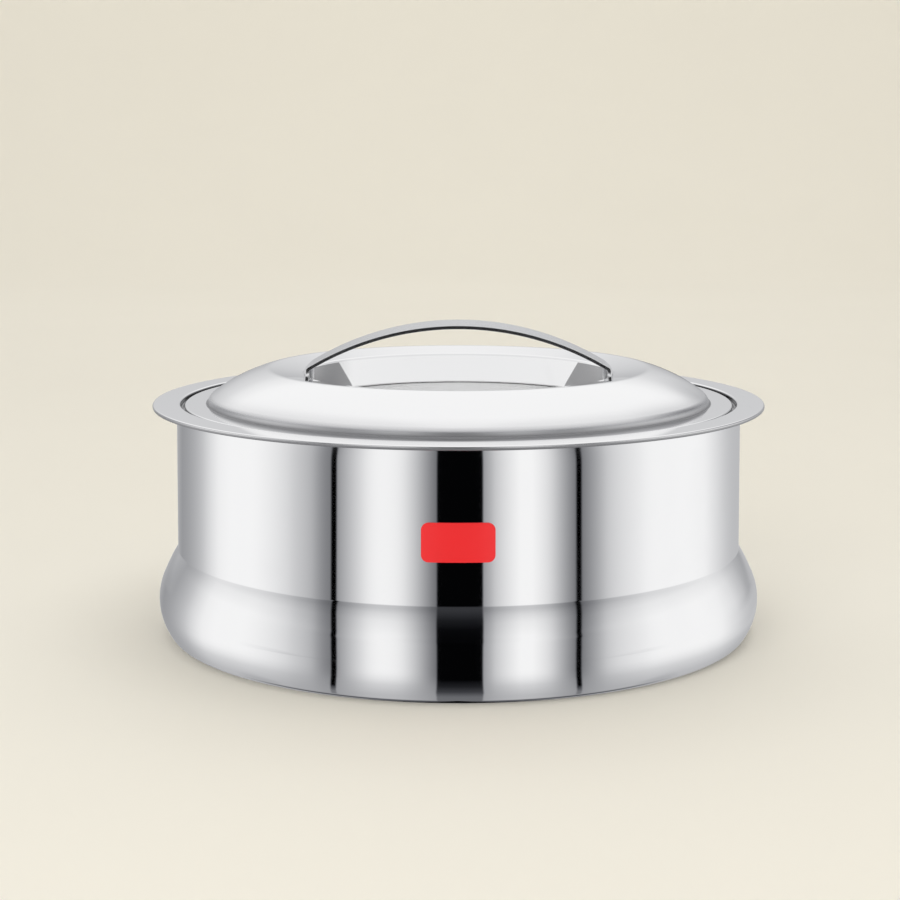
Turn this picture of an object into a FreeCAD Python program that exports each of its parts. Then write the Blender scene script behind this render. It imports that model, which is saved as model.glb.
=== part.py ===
import FreeCAD, Part
import math
import os

import Sketcher
from FreeCAD import Placement, Rotation, Vector

# An insulated chapati casserole in pressed stainless steel, with a lid that lifts off.
# The pot is an outer shell and an inner bowl with foam between them, joined by a rolled rim.
# The lid is a dome and a liner with foam between them, and carries a strap handle in a recess.
# Millimetres, +Z up, origin at the centre of the foot on the table, front of the pot at -Y.

doc = FreeCAD.newDocument("ChapatiCasserole")
sheet = doc.addObject("Spreadsheet::Sheet", "Sizes")


class Size:
    """A number with the sheet expression that gives it, so that both stay in step."""

    def __init__(self, number, text):
        self.number = float(number)
        self.text = text

    def __add__(self, other):
        other = asSize(other)
        return Size(self.number + other.number, "(%s + %s)" % (self.text, other.text))

    def __sub__(self, other):
        other = asSize(other)
        return Size(self.number - other.number, "(%s - %s)" % (self.text, other.text))

    def __mul__(self, other):
        other = asSize(other)
        return Size(self.number * other.number, "(%s * %s)" % (self.text, other.text))

    def __truediv__(self, other):
        other = asSize(other)
        return Size(self.number / other.number, "(%s / %s)" % (self.text, other.text))


def asSize(value):
    return value if isinstance(value, Size) else Size(value, repr(float(value)))


def root(value):
    return Size(math.sqrt(value.number), "sqrt(%s)" % value.text)


def least(one, other):
    return Size(min(one.number, other.number), "min(%s; %s)" % (one.text, other.text))


sizes = {}


def addRow(alias, number, cell, note):
    row = len(sizes) + 1
    sheet.set("A%d" % row, alias)
    sheet.set("B%d" % row, cell)
    sheet.setAlias("B%d" % row, alias)
    sheet.set("C%d" % row, note)
    sizes[alias] = Size(number, "Sizes." + alias)
    return sizes[alias]


def size(alias, value, note):
    """Write one driving dimension to the sheet and return it."""
    return addRow(alias, value, str(value), note)


def derive(alias, value, note):
    """Write a dimension that follows from others to the sheet, as a formula, and return it."""
    return addRow(alias, value.number, "=" + value.text.replace("Sizes.", ""), note)


def sweepBend(before, corner, after, ratio):
    """The bend whose curve takes up this ratio of the shorter side at its corner."""
    backAcross, backUp = corner[0] - before[0], corner[1] - before[1]
    aheadAcross, aheadUp = after[0] - corner[0], after[1] - corner[1]
    back = root(backAcross * backAcross + backUp * backUp)
    ahead = root(aheadAcross * aheadAcross + aheadUp * aheadUp)
    along = backAcross * aheadAcross + backUp * aheadUp
    across = backAcross * aheadUp - backUp * aheadAcross
    return least(back, ahead) * ratio * root(across * across) / (back * ahead - along)


# sheet metal and fits
bowlGauge = size("bowlGauge", 0.6, "sheet of the inner bowl and of the lid dome")
shellGauge = size("shellGauge", 0.5, "sheet of the outer shell and of the lid liner")
foldGap = size("foldGap", 0.05, "play on each side of a sheet caught in a rolled hem")
hemFlat = size("hemFlat", 0.08, "half of the flat left between a rolled hem's two bends")
hemWidth = size("hemWidth", 4.0, "length of the hem's folded lip")
hemEndPlay = size("hemEndPlay", 0.3, "space between a caught edge and the fold")
foamGap = size("foamGap", 0.2, "bond line between the foam and the steel")

# rim, lid seat and inner bowl, stepping inwards from the rim
rimRadius = size("rimRadius", 130.0, "outer radius of the rolled rim")
rimHeight = size("rimHeight", 99.0, "top of the rim above the table")
rimWidth = size("rimWidth", 11.7, "width of the flat rim, from its edge to the lid seat")
seatDepth = size("seatDepth", 2.6, "depth of the lid seat below the rim")
seatTopBend = size("seatTopBend", 0.9, "bend from the rim into the seat")
seatFootBend = size("seatFootBend", 0.7, "bend at the bottom of the seat")
ledgeWidth = size("ledgeWidth", 10.1, "width of the ledge under the lid, from the seat to the mouth")
mouthBend = size("mouthBend", 1.5, "bend from the ledge into the bowl")
bowlDraft = size("bowlDraft", 2.8, "how much the bowl narrows from its mouth to its floor")
bowlBend = size("bowlBend", 20.0, "bend between the bowl's wall and floor")
bowlFloor = size("bowlFloor", 14.6, "height of the bowl's floor")

# outer shell, stepping down from the wall under the rim to the foot
wallSpace = size("wallSpace", 1.6, "step from the lid seat out to the shell's wall")
flangeBend = size("flangeBend", 1.2, "bend from the wall into the rim")
wallDraft = size("wallDraft", 0.8, "how much the wall widens from the rim down to the crease")
creaseHeight = size("creaseHeight", 36.9, "height of the crease above the table")
creaseBend = size("creaseBend", 1.2, "bend of the crease")
bellyBulge = size("bellyBulge", 11.25, "step from the crease out to the belly's construction corner")
bellyHeight = size("bellyHeight", 13.7, "height of the belly's construction corner")
bellyRatio = size("bellyRatio", 0.8, "ratio of the belly's shorter side that its curve takes up")
footTuck = size("footTuck", 8.05, "step from the belly's construction corner in to the foot")
footBend = size("footBend", 4.4, "bend from the foot into the belly")
footWidth = size("footWidth", 12.9, "width of the foot ring on the table")
footStep = size("footStep", 2.5, "width of the step from the foot ring up to the base panel")
footStepBend = size("footStepBend", 1.2, "bends of that step")
footHeight = size("footHeight", 1.5, "rise of the base panel inside the foot ring")

# lid
seatGap = size("seatGap", 0.2, "play between the lid's hem and the ledge it rests on")
lidPlay = size("lidPlay", 1.6, "space between the lid's hem and the wall of the seat")
linerPlay = size("linerPlay", 1.3, "space between the liner and the bowl's mouth")
linerDepth = size("linerDepth", 7.75, "depth of the liner below its flange")
linerDraft = size("linerDraft", 0.6, "how much the liner narrows down to its floor")
linerFlangeBend = size("linerFlangeBend", 0.7, "bend from the liner into its flange")
linerBend = size("linerBend", 4.0, "bend between the liner's wall and floor")
domeStep = size("domeStep", 0.3, "step from the liner's wall out to the foot of the dome")
domeFootBend = size("domeFootBend", 0.7, "bend between flange and dome")
shoulderInset = size("shoulderInset", 0.9, "step from the dome's foot in to its lower corner")
shoulderRise = size("shoulderRise", 2.62, "height of the dome's lower corner above the flange")
shoulderRatio = size("shoulderRatio", 0.7, "ratio of its shorter side that its curve takes up")
crownPlaceRatio = size("crownPlaceRatio", 0.522, "place of the dome's upper corner between crest and lower corner")
crownRise = size("crownRise", 10.9, "height of the dome's upper corner above the flange")
crownRatio = size("crownRatio", 0.84, "ratio of its shorter side that its curve takes up")
crestWidth = size("crestWidth", 15.6, "step from the recess out to the crest around it")
crestRise = size("crestRise", 14.6, "height of the crest above the flange")
crestRatio = size("crestRatio", 0.11, "ratio of its shorter side that its curve takes up")
recessRadius = size("recessRadius", 66.0, "radius of the handle recess")
lipRise = size("lipRise", 12.25, "height of the recess lip above the flange")
lipBend = size("lipBend", 1.4, "bend over the recess lip")
recessDrop = size("recessDrop", 0.7, "depth of the recess floor below the flange")
recessBend = size("recessBend", 2.6, "bend between recess wall and floor")

# strap handle
strapWidth = size("strapWidth", 28.0, "width of the strap")
strapGauge = size("strapGauge", 1.5, "thickness of the strap")
strapEnd = size("strapEnd", 1.6, "height of the arch's ends above the recess lip")
strapCrown = size("strapCrown", 19.15, "rise of the arch from its ends to its top")
strapFit = size("strapFit", 0.1, "weld line between a tab and the recess wall")
strapOuterBend = size("strapOuterBend", 1.8, "outside bend from strap to tab")
strapInnerBend = size("strapInnerBend", 0.6, "inside bend from strap to tab")
tabDepth = size("tabDepth", 7.5, "reach of a tab below the recess lip")
tabCorner = size("tabCorner", 4.0, "round of a tab's lower corners")
cutMargin = size("cutMargin", 5.0, "how far a cutting shape reaches past what it cuts")

# foam plugs
plugHole = size("plugHole", 6.0, "radius of a foam filling hole")
plugFit = size("plugFit", 0.1, "play of a plug's stem in its hole")
plugHead = size("plugHead", 8.5, "radius of a plug's head")
plugHeadHeight = size("plugHeadHeight", 0.9, "thickness of a plug's head")
plugStem = size("plugStem", 5.0, "length of a plug's stem")
plugPlay = size("plugPlay", 0.3, "space between a plug's stem and the foam")
plugRound = size("plugRound", 0.3, "round on the plug's edges")

# name badge
badgeWidth = size("badgeWidth", 27.8, "width of the badge, measured around the wall")
badgeHeight = size("badgeHeight", 15.0, "height of the badge")
badgeRise = size("badgeRise", 24.3, "height of the badge's middle above the crease")
badgeGauge = size("badgeGauge", 0.35, "thickness of the badge")
badgeGlue = size("badgeGlue", 0.1, "glue under the badge")
badgeCorner = size("badgeCorner", 2.8, "round of the badge's corners")

# what follows from these sizes
hemThickness = derive("hemThickness", bowlGauge * 2 + shellGauge + foldGap * 2,
                      "height of a rolled hem with the sheet caught in it")
hemBend = derive("hemBend", hemThickness / 2 - hemFlat, "outside bend of a rolled hem")
seatRadius = derive("seatRadius", rimRadius - rimWidth, "radius of the wall around the lid seat")
mouthRadius = derive("mouthRadius", seatRadius - ledgeWidth, "radius of the bowl's mouth")
ledgeHeight = derive("ledgeHeight", rimHeight - seatDepth, "height of the ledge under the lid")
wallRadius = derive("wallRadius", seatRadius + wallSpace, "radius of the shell under the rim")
flangeHeight = derive("flangeHeight", rimHeight - bowlGauge - foldGap - shellGauge,
                      "height of the shell's edge in the rim, measured to its underside")
creaseRadius = derive("creaseRadius", wallRadius + wallDraft, "radius of the shell at the crease")
bellyCorner = derive("bellyCorner", creaseRadius + bellyBulge, "radius of the belly's corner")
footOuter = derive("footOuter", bellyCorner - footTuck, "outer radius of the foot ring")
footInner = derive("footInner", footOuter - footWidth, "inner radius of the foot ring")
lidUnder = derive("lidUnder", ledgeHeight + seatGap, "underside of the lid's hem")
lidTop = derive("lidTop", lidUnder + hemThickness, "top of the lid's flange")
lidRadius = derive("lidRadius", seatRadius - lidPlay, "outer radius of the lid's hem")
linerRadius = derive("linerRadius", mouthRadius - linerPlay, "radius of the liner at its flange")
linerFlange = derive("linerFlange", lidUnder + bowlGauge + foldGap,
                     "height of the liner's edge in the hem, measured to its underside")
linerFloor = derive("linerFloor", linerFlange - linerDepth, "height of the liner's floor")
domeFoot = derive("domeFoot", linerRadius + domeStep, "radius of the foot of the dome")
shoulderRadius = derive("shoulderRadius", domeFoot - shoulderInset, "radius of its lower corner")
crestRadius = derive("crestRadius", recessRadius + crestWidth, "radius of the crest")
crownRadius = derive("crownRadius", crestRadius + (shoulderRadius - crestRadius) * crownPlaceRatio,
                     "radius of the dome's upper corner")
recessLip = derive("recessLip", lidTop + lipRise, "height of the recess lip")
tabOuter = derive("tabOuter", recessRadius - strapFit, "radius of a tab's face at the recess wall")
strapTop = derive("strapTop", recessLip + strapEnd + strapCrown, "top of the strap")
strapArc = derive("strapArc", (tabOuter * tabOuter + strapCrown * strapCrown) / (strapCrown * 2),
                  "radius of the arch over the strap's top")
doc.recompute()


def originPlane(body, role):
    for feature in body.Origin.OriginFeatures:
        if feature.Role == role:
            return feature
    raise ValueError("no origin plane " + role)


class Drawing:
    """A sketch with the constraints that are added to it all at once."""

    def __init__(self, body, name, role="XZ_Plane"):
        self.sketch = body.newObject("Sketcher::SketchObject", name)
        self.sketch.AttachmentSupport = [(originPlane(body, role), "")]
        self.sketch.MapMode = "FlatFace"
        self.rules = []
        self.bound = []

    def line(self, start, end, construction=False):
        return self.sketch.addGeometry(Part.LineSegment(start, end), construction)

    def arc(self, centre, start, end, construction=False):
        """An arc that runs anticlockwise, so that vertex 1 is its start and vertex 2 its end."""
        circle = Part.Circle(centre, Vector(0, 0, 1), (start - centre).Length)
        first = math.atan2(start.y - centre.y, start.x - centre.x)
        last = math.atan2(end.y - centre.y, end.x - centre.x)
        return self.sketch.addGeometry(Part.ArcOfCircle(circle, first, last), construction)

    def rule(self, *words):
        self.rules.append(Sketcher.Constraint(*words))

    def bind(self, value, *words):
        """A dimension tied to the sheet."""
        self.bound.append((len(self.rules), value.text))
        self.rules.append(Sketcher.Constraint(*words, value.number))

    def place(self, geometry, vertex, across, up):
        """Hold a point at a distance and a height measured from the origin."""
        if across.number == 0:
            self.rule("PointOnObject", geometry, vertex, -2)
        else:
            self.bind(across, "DistanceX", -1, 1, geometry, vertex)
        if up.number == 0:
            self.rule("PointOnObject", geometry, vertex, -1)
        else:
            self.bind(up, "DistanceY", -1, 1, geometry, vertex)

    def finish(self):
        self.sketch.addConstraint(self.rules)
        for index, text in self.bound:
            self.sketch.setExpression("Constraints[%d]" % index, text)
        doc.recompute()
        return self.sketch


def at(corner):
    return Vector(corner[0].number, corner[1].number, 0)


def checkStraight(start, end, corner):
    """Two bends may not run into each other: a straight stretch is left between them."""
    if (end - start).dot(corner - start) <= 0:
        raise ValueError("no straight is left before the corner at %.2f, %.2f" % (corner.x, corner.y))


def roundedPath(points, radii):
    """The lines and tangent arcs through these corners, as (start, end, centre, left turn)."""
    path = []
    last = points[0]
    for before, corner, after, radius in zip(points, points[1:], points[2:], radii[1:]):
        back = (before - corner).normalize()
        ahead = (after - corner).normalize()
        half = back.getAngle(ahead) / 2
        start = corner + back * (radius / math.tan(half))
        end = corner + ahead * (radius / math.tan(half))
        centre = corner + (back + ahead).normalize() * (radius / math.sin(half))
        checkStraight(last, start, corner)
        path.append((last, start, None, False))
        path.append((start, end, centre, ahead.cross(back).z > 0))
        last = end
    checkStraight(last, points[-1], points[-1])
    path.append((last, points[-1], None, False))
    return path


def movedPath(path, distance):
    """The same path at this distance to the left of its direction."""
    moved = []
    for start, end, centre, leftTurn in path:
        if centre is None:
            along = (end - start).normalize()
            shift = Vector(-along.y, along.x, 0) * distance
            moved.append((start + shift, end + shift, None, False))
        else:
            radius = (start - centre).Length
            factor = (radius - distance if leftTurn else radius + distance) / radius
            moved.append((centre + (start - centre) * factor, centre + (end - centre) * factor,
                          centre, leftTurn))
    return moved


class Face:
    """One face of a sheet in a drawing: a path whose lines and arcs meet smoothly."""

    def __init__(self, drawing, path, construction=False):
        self.path = path
        self.lines = []
        self.arcs = []
        ends = []
        for start, end, centre, leftTurn in path:
            if centre is None:
                index = drawing.line(start, end, construction)
                self.lines.append(index)
                ends.append((index, 1, 2))
            elif leftTurn:
                index = drawing.arc(centre, start, end, construction)
                self.arcs.append(index)
                ends.append((index, 1, 2))
            else:
                index = drawing.arc(centre, end, start, construction)
                self.arcs.append(index)
                ends.append((index, 2, 1))
        for before, after in zip(ends, ends[1:]):
            drawing.rule("Tangent", before[0], before[2], after[0], after[1])
        self.start = (self.lines[0], 1, path[0][0])
        self.end = (self.lines[-1], 2, path[-1][1])


def pressedSheet(drawing, corners, gauge, way, construction=False):
    """Both faces of a sheet through these corners, each (radius, height, bend), with square ends.

    The ends have no bend. The back face lies to the left of the walk if way is 1, else to the
    right. With construction only the back face counts, as a face kept at that distance."""
    corners = [tuple(asSize(value) for value in corner) for corner in corners]
    points = [at(corner) for corner in corners]
    front = Face(drawing, roundedPath(points, [corner[2].number for corner in corners]), construction)
    back = Face(drawing, movedPath(front.path, gauge.number * way))
    drawing.place(front.lines[0], 1, corners[0][0], corners[0][1])
    drawing.place(front.lines[-1], 2, corners[-1][0], corners[-1][1])
    for index, (across, up, bend) in enumerate(corners[1:-1]):
        drawing.bind(bend, "Radius", front.arcs[index])
        corner = drawing.sketch.addGeometry(Part.Point(points[index + 1]), True)
        drawing.rule("PointOnObject", corner, 1, front.lines[index])
        drawing.rule("PointOnObject", corner, 1, front.lines[index + 1])
        drawing.place(corner, 1, across, up)
        drawing.rule("Coincident", front.arcs[index], 3, back.arcs[index], 3)
    for line, behind in zip(front.lines, back.lines):
        drawing.rule("Parallel", line, behind)
    for near, far in ((front.start, back.start), (front.end, back.end)):
        cut = drawing.line(near[2], far[2], construction)
        drawing.rule("Coincident", cut, 1, near[0], near[1])
        drawing.rule("Coincident", cut, 2, far[0], far[1])
        drawing.rule("Perpendicular", cut, near[0])
        if near is front.start:
            drawing.bind(gauge, "Distance", cut)
    return back


def joinEnds(drawing, start, corners, end):
    """Straight lines from one face's end to another's, by way of corners held in place."""
    points = [start[2]] + [at(corner) for corner in corners] + [end[2]]
    lines = [drawing.line(a, b) for a, b in zip(points, points[1:])]
    drawing.rule("Coincident", start[0], start[1], lines[0], 1)
    drawing.rule("Coincident", lines[-1], 2, end[0], end[1])
    for line, following, corner in zip(lines, lines[1:], corners):
        drawing.rule("Coincident", line, 2, following, 1)
        drawing.place(line, 2, corner[0], corner[1])


def polygon(drawing, corners):
    """A closed straight-sided profile with every corner held in place."""
    corners = [tuple(asSize(value) for value in corner) for corner in corners]
    points = [at(corner) for corner in corners]
    lines = [drawing.line(a, b) for a, b in zip(points, points[1:] + points[:1])]
    for index, corner in enumerate(corners):
        drawing.rule("Coincident", lines[index - 1], 2, lines[index], 1)
        drawing.place(lines[index], 1, corner[0], corner[1])


parts = []


def newPart(label):
    body = doc.addObject("PartDesign::Body", label)
    body.Label = label
    parts.append(body)
    return body


def turn(body, drawing, kind="PartDesign::Revolution"):
    """Turn a drawing fully about the upright axis, to add to the body or to cut from it."""
    sketch = drawing.finish()
    turned = body.newObject(kind, sketch.Label + "_turned")
    turned.Profile = sketch
    turned.ReferenceAxis = (sketch, ["V_Axis"])
    turned.Angle = 360
    doc.recompute()
    return turned


def pad(body, drawing, length, midplane=False):
    sketch = drawing.finish()
    padded = body.newObject("PartDesign::Pad", sketch.Label + "_pad")
    padded.Profile = sketch
    padded.Midplane = midplane
    padded.setExpression("Length", length.text)
    doc.recompute()
    return padded


def roundEdges(body, name, feature, wanted, radius):
    """Fillet the edges of the feature that the test picks out."""
    edges = ["Edge%d" % (index + 1) for index, edge in enumerate(feature.Shape.Edges) if wanted(edge)]
    fillet = body.newObject("PartDesign::Fillet", name)
    fillet.Base = (feature, edges)
    fillet.setExpression("Radius", radius.text)
    doc.recompute()
    return fillet


def sheetPart(label, corners, gauge, way):
    """A pressed sheet turned about the pot's axis."""
    body = newPart(label)
    drawing = Drawing(body, label + "_profile")
    pressedSheet(drawing, corners, gauge, way)
    turn(body, drawing)


def plugPart(label, panel):
    """A push-in plug: a head under the panel and a stem up through its hole."""
    body = newPart(label)
    drawing = Drawing(body, label + "_profile")
    stem = plugHole - plugFit
    foot = panel - plugHeadHeight
    tip = panel + plugStem
    polygon(drawing, [(0, foot), (plugHead, foot), (plugHead, panel),
                      (stem, panel), (stem, tip), (0, tip)])
    turned = turn(body, drawing)

    def endRing(edge):
        box = edge.BoundBox
        flat = box.ZLength < 1e-4 and edge.Length > 1
        return flat and (abs(box.ZMin - foot.number) < 1e-4 or abs(box.ZMin - tip.number) < 1e-4)

    roundEdges(body, label + "_round", turned, endRing, plugRound)


# outer shell, walked along its outside from the filling hole up to the edge caught in the rim
foot = (footOuter, asSize(0))
belly = (bellyCorner, bellyHeight)
crease = (creaseRadius, creaseHeight)
shellFace = [
    (plugHole, footHeight, 0),
    (footInner - footStep, footHeight, footStepBend),
    (footInner, 0, footStepBend),
    foot + (footBend,),
    belly + (sweepBend(foot, belly, crease, bellyRatio),),
    crease + (creaseBend,),
]
shellRim = [
    (wallRadius, flangeHeight, flangeBend),
    (rimRadius - bowlGauge - hemEndPlay, flangeHeight, 0),
]
sheetPart("outer_shell", shellFace + shellRim, shellGauge, 1)

# inner bowl, walked along its inside from the middle of the floor to the hem's folded lip
bowlFace = [
    (0, bowlFloor, 0),
    (mouthRadius - bowlDraft, bowlFloor, bowlBend),
    (mouthRadius, ledgeHeight, mouthBend),
]
bowlRim = [
    (seatRadius, ledgeHeight, seatFootBend),
    (seatRadius, rimHeight, seatTopBend),
    (rimRadius, rimHeight, hemBend),
    (rimRadius, rimHeight - hemThickness, hemBend),
    (rimRadius - hemWidth, rimHeight - hemThickness, 0),
]
sheetPart("inner_bowl", bowlFace + bowlRim, bowlGauge, -1)

# foam of the pot: fills the space between both sheets, with a pocket over the filling plug
bowlSetback = bowlGauge + foamGap
shellSetback = shellGauge + foamGap
foamTop = ledgeHeight - bowlSetback
plugPocket = plugHole + plugPlay
pocketTop = footHeight + plugStem + plugPlay
foam = newPart("body_insulation")
drawing = Drawing(foam, "body_insulation_profile")
outside = pressedSheet(drawing, [(plugPocket, footHeight, 0)] + shellFace[1:]
                       + [(wallRadius, foamTop, 0)], shellSetback, 1, True)
inside = pressedSheet(drawing, bowlFace + [(seatRadius, ledgeHeight, 0)], bowlSetback, -1, True)
joinEnds(drawing, outside.end, [], inside.end)
joinEnds(drawing, outside.start, [(plugPocket, pocketTop), (asSize(0), pocketTop)], inside.start)
turn(foam, drawing)

# lid dome, walked along its top from the middle of the recess to the hem's folded lip
lip = (recessRadius, recessLip)
crest = (crestRadius, lidTop + crestRise)
crown = (crownRadius, lidTop + crownRise)
shoulder = (shoulderRadius, lidTop + shoulderRise)
foot = (domeFoot, lidTop)
domeFace = [
    (0, lidTop - recessDrop, 0),
    (recessRadius, lidTop - recessDrop, recessBend),
    lip + (lipBend,),
    crest + (sweepBend(lip, crest, crown, crestRatio),),
    crown + (sweepBend(crest, crown, shoulder, crownRatio),),
    shoulder + (sweepBend(crown, shoulder, foot, shoulderRatio),),
]
domeRim = [
    foot + (domeFootBend,),
    (lidRadius, lidTop, hemBend),
    (lidRadius, lidUnder, hemBend),
    (lidRadius - hemWidth, lidUnder, 0),
]
sheetPart("lid_dome", domeFace + domeRim, bowlGauge, -1)

# lid liner, walked along its underside from the filling hole to the edge caught in the hem
linerFace = [
    (plugHole, linerFloor, 0),
    (linerRadius - linerDraft, linerFloor, linerBend),
]
linerRim = [
    (linerRadius, linerFlange, linerFlangeBend),
    (lidRadius - bowlGauge - hemEndPlay, linerFlange, 0),
]
sheetPart("lid_liner", linerFace + linerRim, shellGauge, 1)

# foam of the lid
lidPocketTop = linerFloor + plugStem + plugPlay
foam = newPart("lid_insulation")
drawing = Drawing(foam, "lid_insulation_profile")
below = pressedSheet(drawing, [(plugPocket, linerFloor, 0), linerFace[1],
                               (linerRadius, linerFlange, 0)], shellSetback, 1, True)
above = pressedSheet(drawing, domeFace + [(domeFoot, lidTop, 0)], bowlSetback, -1, True)
joinEnds(drawing, below.end, [], above.end)
joinEnds(drawing, below.start, [(plugPocket, lidPocketTop), (asSize(0), lidPocketTop)], above.start)
turn(foam, drawing)

plugPart("body_fill_plug", footHeight)
plugPart("lid_fill_plug", linerFloor)

# strap handle: an arched band whose ends are pressed into tabs that follow the recess wall
handle = newPart("lid_handle")
tabInner = tabOuter - strapGauge
tabBottom = recessLip - tabDepth
underArc = strapArc - strapGauge
arcCentre = strapTop - strapArc
bandReach = recessRadius + cutMargin

def archEdge(drawing, radius):
    """An arc of the arch, from the right end to the left, with its ends."""
    rise = math.sqrt(radius.number ** 2 - bandReach.number ** 2)
    centre = Vector(0, arcCentre.number, 0)
    ends = [centre + Vector(side * bandReach.number, rise, 0) for side in (1, -1)]
    arc = drawing.arc(centre, ends[0], ends[1])
    drawing.bind(radius, "Radius", arc)
    drawing.rule("PointOnObject", arc, 3, -2)
    drawing.rule("Symmetric", arc, 1, arc, 2, -2)
    drawing.bind(arcCentre, "DistanceY", -1, 1, arc, 3)
    drawing.bind(bandReach, "DistanceX", -1, 1, arc, 1)
    return arc, ends


drawing = Drawing(handle, "band")
upper, upperEnds = archEdge(drawing, strapArc)
lower, lowerEnds = archEdge(drawing, underArc)
for vertex in (1, 2):
    side = drawing.line(upperEnds[vertex - 1], lowerEnds[vertex - 1])
    drawing.rule("Coincident", side, 1, upper, vertex)
    drawing.rule("Coincident", side, 2, lower, vertex)
band = pad(handle, drawing, strapWidth, True)

drawing = Drawing(handle, "trim")
polygon(drawing, [(tabOuter, lidTop), (bandReach + cutMargin, lidTop),
                  (bandReach + cutMargin, strapTop + cutMargin), (tabOuter, strapTop + cutMargin)])
trimmed = turn(handle, drawing, "PartDesign::Groove")
if trimmed.Shape.Volume > band.Shape.Volume - 1:
    raise ValueError("the strap's ends were not trimmed")

drawing = Drawing(handle, "tabs", "XY_Plane")
drawing.sketch.AttachmentOffset = Placement(Vector(0, 0, tabBottom.number), Rotation())
drawing.sketch.setExpression("AttachmentOffset.Base.z", tabBottom.text)
halfWidth = strapWidth / 2
for side in (1, -1):
    tabEdges = []
    for radius in (tabOuter, tabInner):
        across = math.sqrt(radius.number ** 2 - halfWidth.number ** 2)
        ends = [Vector(side * across, side * way * halfWidth.number, 0) for way in (-1, 1)]
        tabEdges.append((drawing.arc(Vector(), ends[0], ends[1]), ends))
        drawing.rule("Coincident", tabEdges[-1][0], 3, -1, 1)
        drawing.bind(radius, "Radius", tabEdges[-1][0])
    (outer, outerEnds), (inner, innerEnds) = tabEdges
    for vertex, way in ((1, -side), (2, side)):
        flank = drawing.line(outerEnds[vertex - 1], innerEnds[vertex - 1])
        drawing.rule("Coincident", flank, 1, outer, vertex)
        drawing.rule("Coincident", flank, 2, inner, vertex)
        drawing.rule("Horizontal", flank)
        drawing.bind(halfWidth * way, "DistanceY", -1, 1, flank, 1)
tabs = pad(handle, drawing, strapTop - tabBottom)

drawing = Drawing(handle, "over_band")
arch, archEnds = archEdge(drawing, strapArc)
roof = strapTop + cutMargin
roofEnds = [Vector(end.x, roof.number, 0) for end in archEnds]
ridge = drawing.line(roofEnds[0], roofEnds[1])
drawing.bind(roof, "DistanceY", -1, 1, ridge, 1)
drawing.rule("Horizontal", ridge)
for vertex in (1, 2):
    side = drawing.line(archEnds[vertex - 1], roofEnds[vertex - 1])
    drawing.rule("Coincident", side, 1, arch, vertex)
    drawing.rule("Coincident", side, 2, ridge, vertex)
    drawing.rule("Vertical", side)
cut = handle.newObject("PartDesign::Pocket", "tab_tops")
cut.Profile = drawing.finish()
cut.Midplane = True
cut.setExpression("Length", (strapWidth + cutMargin).text)
doc.recompute()
if cut.Shape.Volume > tabs.Shape.Volume - 1:
    raise ValueError("the tabs were not cut to the band")


def tabFoot(edge):
    """The short edges at the lower corners of the tabs."""
    box = edge.BoundBox
    return (box.ZMax < tabBottom.number + 0.01 and box.YLength < 0.01
            and edge.Length < strapGauge.number * 1.3)


def bendEdge(edge, radius):
    """An edge across the strap, where the band meets this face of a tab."""
    box = edge.BoundBox
    onTab = all(abs(math.hypot(vertex.X, vertex.Y) - radius.number) < 0.01
                for vertex in edge.Vertexes)
    return onTab and box.YLength > strapWidth.number * 0.9 and box.ZMin > tabBottom.number + 1


def innerBend(edge):
    return bendEdge(edge, tabInner)


def outerBend(edge):
    return bendEdge(edge, tabOuter)


corners = roundEdges(handle, "tab_corners", cut, tabFoot, tabCorner)
inner = roundEdges(handle, "inside_bends", corners, innerBend, strapInnerBend)
roundEdges(handle, "outside_bends", inner, outerBend, strapOuterBend)

# badge: a blank plate that follows the taper of the wall, on the front of the pot
badge = newPart("badge")
taper = wallDraft / (flangeHeight - creaseHeight)
badgeCentre = creaseHeight + badgeRise
plateCorners = []
for height in (badgeCentre - badgeHeight / 2, badgeCentre + badgeHeight / 2):
    glueFace = wallRadius + taper * (flangeHeight - height) + badgeGlue
    plateCorners.append(((glueFace, height), (glueFace + badgeGauge, height)))
drawing = Drawing(badge, "badge_plate")
polygon(drawing, [plateCorners[0][0], plateCorners[0][1], plateCorners[1][1], plateCorners[1][0]])
plate = turn(badge, drawing)
plate.Midplane = True
plate.setExpression("Angle", (badgeWidth / creaseRadius * math.degrees(1)).text)
doc.recompute()
roundEdges(badge, "badge_corners", plate, lambda edge: edge.Length < badgeGauge.number * 1.5,
           badgeCorner)
badge.Placement = Placement(Vector(), Rotation(Vector(0, 0, 1), -90))
doc.recompute()

# every size must agree with its cell, and every object be made cleanly, before anything is written
for alias, value in sizes.items():
    if abs(float(sheet.get(alias)) - value.number) > 1e-6:
        raise ValueError("the sheet gives %s for %s" % (sheet.get(alias), alias))
for item in doc.Objects:
    if "Invalid" in item.State or "Error" in item.State:
        raise ValueError("%s failed: %s" % (item.Label, item.State))
    if item.TypeId == "Sketcher::SketchObject" and not item.FullyConstrained:
        raise ValueError("%s is not fully constrained" % item.Label)
for body in parts:
    shape = body.Shape
    if shape.isNull() or not shape.isValid() or shape.Volume <= 0:
        raise ValueError("%s has no valid solid" % body.Label)

os.makedirs("parts", exist_ok=True)
for body in parts:
    body.Shape.exportStep("parts/%s.step" % body.Label)
    box = body.Shape.BoundBox
    print("%-16s %9.1f mm3  solids %d  x %.2f..%.2f  y %.2f..%.2f  z %.2f..%.2f" % (
        body.Label, body.Shape.Volume, len(body.Shape.Solids),
        box.XMin, box.XMax, box.YMin, box.YMax, box.ZMin, box.ZMax))
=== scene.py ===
import math

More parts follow.
